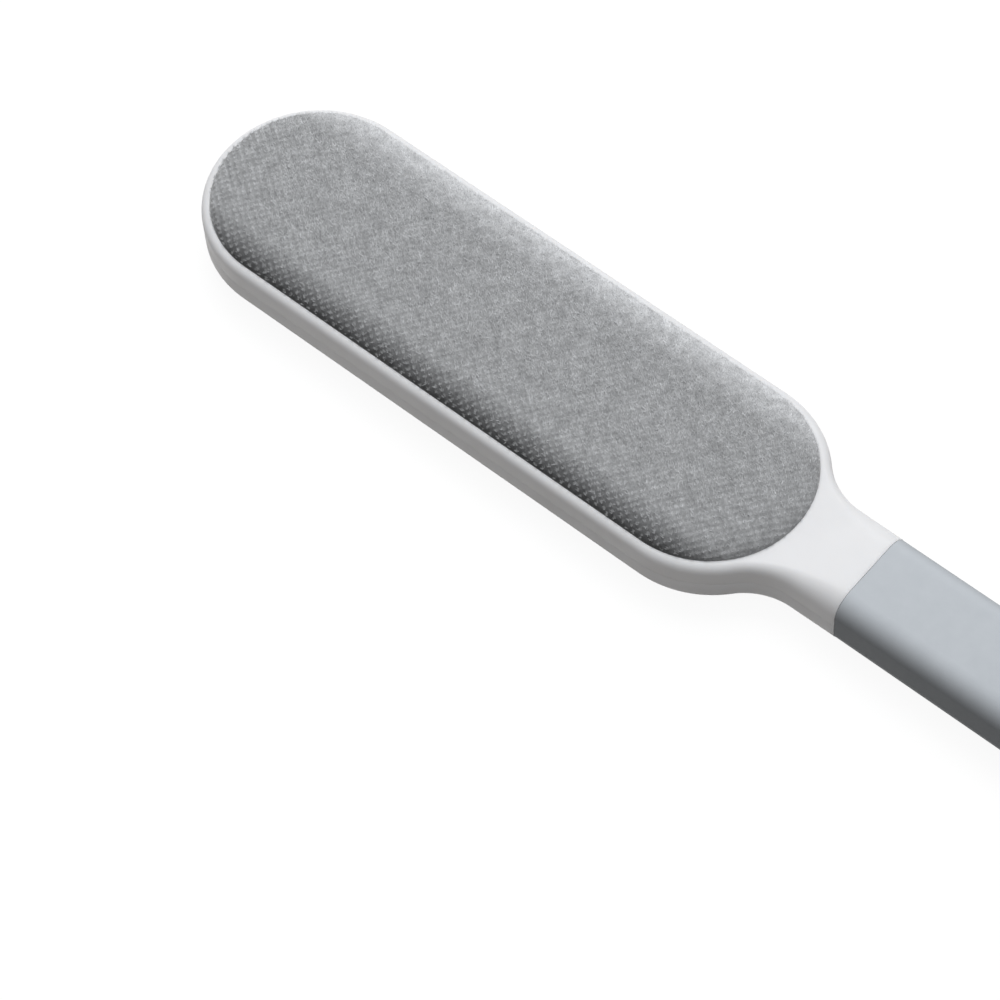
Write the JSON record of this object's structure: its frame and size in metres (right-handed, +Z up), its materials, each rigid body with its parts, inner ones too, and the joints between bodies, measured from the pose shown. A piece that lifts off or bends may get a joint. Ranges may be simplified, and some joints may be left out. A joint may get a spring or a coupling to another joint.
{
  "type": "double-sided lint brush",
  "caption": "Handheld lint brush: long round-ended white head with a crowned grey hook-fabric pad on each side, narrow neck, grey soft grip and a slotted hanging end.",
  "frame": {"origin": "centre of the overall box at the level of the rear pad's flat, on which the brush lies", "axes": "+X along the brush from the head to the hanging end, +Y across the head, +Z up through the front pad"},
  "size_m": [0.3196, 0.058, 0.0193],
  "materials": {
    "shell": "white ABS with a satin moulded surface",
    "grip": "cool grey soft-touch elastomer, matt",
    "hook_fabric": "mid-grey micro-hook knit with a short leaning nap",
    "foam": "closed-cell foam",
    "board": "plain moulded board",
    "tape": "double-sided foam tape",
    "screw": "zinc-plated steel"
  },
  "bodies": {
    "root": {"front_shell": "shell", "rear_shell": "shell", "hanging_cap": "shell", "grip_sleeve": "grip", "front_fabric": "hook_fabric", "rear_fabric": "hook_fabric", "front_foam": "foam", "rear_foam": "foam", "front_board": "board", "rear_board": "board", "front_mounting_tape": "tape", "rear_mounting_tape": "tape", "shell_screw_1": "screw", "shell_screw_2": "screw", "shell_screw_3": "screw", "shell_screw_4": "screw", "shell_screw_5": "screw", "shell_screw_6": "screw", "shell_screw_7": "screw", "shell_screw_8": "screw"}
  },
  "joints": []
}
